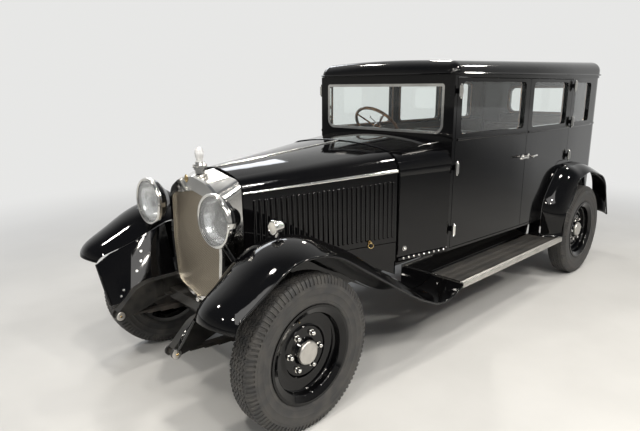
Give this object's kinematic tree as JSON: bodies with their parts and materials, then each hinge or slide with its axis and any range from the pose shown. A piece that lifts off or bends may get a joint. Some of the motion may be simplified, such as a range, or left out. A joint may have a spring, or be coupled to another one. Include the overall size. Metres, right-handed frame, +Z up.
{
  "type": "closed six-light saloon car of the late 1920s",
  "caption": "Black closed saloon car of the late 1920s: long hood, plated radiator, sweeping fenders and disc wheels.",
  "frame": {"origin": "on the ground under the middle of the car's length and width", "axes": "+X forward, +Y to the car's left, +Z up"},
  "size_m": [5.0945, 1.74, 2.0701],
  "materials": {
    "black_enamel": "gloss",
    "nickel": "polished",
    "dark_iron": "matte",
    "grille_mesh": "satin",
    "glass": "gloss",
    "ribbed_mat": "matte",
    "wood": "satin",
    "upholstery": "matte",
    "tyre": "matte"
  },
  "bodies": {
    "chassis": {"chassis_frame": "black_enamel", "front_axle": "black_enamel", "leaf_springs": "dark_iron", "rear_axle": "black_enamel", "engine_block": "dark_iron", "propeller_shaft": "dark_iron", "exhaust": "dark_iron", "fuel_tank": "black_enamel", "radiator_shell": "nickel", "radiator_core": "dark_iron", "radiator_grille": "grille_mesh", "radiator_cap": "nickel", "headlamps": "black_enamel", "headlamp_lenses": "glass", "side_lamps": "nickel", "front_fender_left": "black_enamel", "front_fender_right": "black_enamel", "rear_fender_left": "black_enamel", "rear_fender_right": "black_enamel", "running_boards": "ribbed_mat", "splash_aprons": "black_enamel", "engine_aprons": "black_enamel", "cowl": "black_enamel", "hood_hinge": "nickel", "body_shell": "black_enamel", "roof": "black_enamel", "body_floor": "wood", "windscreen_frame": "nickel", "fixed_glass": "glass", "dashboard": "wood", "steering_column": "black_enamel", "front_seat": "upholstery", "rear_seat": "upholstery", "spare_tyre": "tyre", "spare_wheel": "black_enamel", "spare_carrier": "black_enamel"},
    "knuckle_left": {"knuckle_left": "dark_iron"},
    "knuckle_right": {"knuckle_right": "dark_iron"},
    "tie_rod": {"tie_rod": "dark_iron"},
    "front_wheel_left": {"front_tyre_left": "tyre", "front_wheel_left": "black_enamel"},
    "front_wheel_right": {"front_tyre_right": "tyre", "front_wheel_right": "black_enamel"},
    "rear_wheel_left": {"rear_tyre_left": "tyre", "rear_wheel_left": "black_enamel"},
    "rear_wheel_right": {"rear_tyre_right": "tyre", "rear_wheel_right": "black_enamel"},
    "steering_wheel": {"steering_wheel": "wood"},
    "front_door_left": {"front_door_left": "black_enamel", "front_door_glass_left": "glass"},
    "front_door_right": {"front_door_right": "black_enamel", "front_door_glass_right": "glass"},
    "rear_door_left": {"rear_door_left": "black_enamel", "rear_door_glass_left": "glass"},
    "rear_door_right": {"rear_door_right": "black_enamel", "rear_door_glass_right": "glass"},
    "hood_top_left": {"hood_top_left": "black_enamel"},
    "hood_top_right": {"hood_top_right": "black_enamel"},
    "hood_side_left": {"hood_side_left": "black_enamel"},
    "hood_side_right": {"hood_side_right": "black_enamel"}
  },
  "joints": [
    {"name": "kingpin_left", "type": "hinge", "parent": "chassis", "child": "knuckle_left", "pos_m": [1.964, 0.64, 0.435], "axis": [0, 0, 1], "range_deg": [-32, 32]},
    {"name": "front_wheel_spin_left", "type": "hinge", "parent": "knuckle_left", "child": "front_wheel_left", "pos_m": [1.964, 0.745, 0.435], "axis": [0, 1, 0], "continuous": true},
    {"name": "rear_wheel_spin_left", "type": "hinge", "parent": "chassis", "child": "rear_wheel_left", "pos_m": [-1.696, 0.745, 0.435], "axis": [0, 1, 0], "continuous": true},
    {"name": "front_door_hinge_left", "type": "hinge", "parent": "chassis", "child": "front_door_left", "pos_m": [0.424, 0.684, 1.254], "axis": [0, 0, -1], "range_deg": [0, 70]},
    {"name": "rear_door_hinge_left", "type": "hinge", "parent": "chassis", "child": "rear_door_left", "pos_m": [-1.439, 0.726, 1.254], "axis": [0, 0, 1], "range_deg": [0, 70]},
    {"name": "hood_centre_hinge_left", "type": "hinge", "parent": "chassis", "child": "hood_top_left", "pos_m": [1.978, 0, 1.355], "axis": [0.9968, 0, -0.0802], "range_deg": [0, 60]},
    {"name": "hood_side_hinge_left", "type": "hinge", "parent": "hood_top_left", "child": "hood_side_left", "pos_m": [1.978, 0.268, 1.228], "axis": [-0.9639, 0.2622, 0.0452], "range_deg": [0, 30]},
    {"name": "kingpin_right", "type": "hinge", "parent": "chassis", "child": "knuckle_right", "pos_m": [1.964, -0.64, 0.435], "axis": [0, 0, 1], "range_deg": [-32, 32]},
    {"name": "front_wheel_spin_right", "type": "hinge", "parent": "knuckle_right", "child": "front_wheel_right", "pos_m": [1.964, -0.745, 0.435], "axis": [0, 1, 0], "continuous": true},
    {"name": "rear_wheel_spin_right", "type": "hinge", "parent": "chassis", "child": "rear_wheel_right", "pos_m": [-1.696, -0.745, 0.435], "axis": [0, 1, 0], "continuous": true},
    {"name": "front_door_hinge_right", "type": "hinge", "parent": "chassis", "child": "front_door_right", "pos_m": [0.424, -0.684, 1.254], "axis": [0, 0, 1], "range_deg": [0, 70]},
    {"name": "rear_door_hinge_right", "type": "hinge", "parent": "chassis", "child": "rear_door_right", "pos_m": [-1.439, -0.726, 1.254], "axis": [0, 0, -1], "range_deg": [0, 70]},
    {"name": "hood_centre_hinge_right", "type": "hinge", "parent": "chassis", "child": "hood_top_right", "pos_m": [1.978, 0, 1.355], "axis": [-0.9968, 0, 0.0802], "range_deg": [0, 60]},
    {"name": "hood_side_hinge_right", "type": "hinge", "parent": "hood_top_right", "child": "hood_side_right", "pos_m": [1.978, -0.268, 1.228], "axis": [0.9639, 0.2622, -0.0452], "range_deg": [0, 30]},
    {"name": "steering_wheel_turn", "type": "hinge", "parent": "chassis", "child": "steering_wheel", "pos_m": [0.064, -0.35, 1.478], "axis": [-0.766, 0, 0.6428], "range_deg": [-384, 384]},
    {"name": "tie_rod_pivot", "type": "hinge", "parent": "knuckle_left", "child": "tie_rod", "pos_m": [1.799, 0.64, 0.352], "axis": [0, 0, 1], "range_deg": [-32, 32]}
  ],
  "couplings": [
    {"joint": "kingpin_right", "follows": "kingpin_left", "ratio": 1},
    {"joint": "steering_wheel_turn", "follows": "kingpin_left", "ratio": 12},
    {"joint": "tie_rod_pivot", "follows": "kingpin_left", "ratio": -1},
    {"joint": "hood_side_hinge_left", "follows": "hood_centre_hinge_left", "ratio": 0.5},
    {"joint": "hood_side_hinge_right", "follows": "hood_centre_hinge_right", "ratio": 0.5}
  ]
}
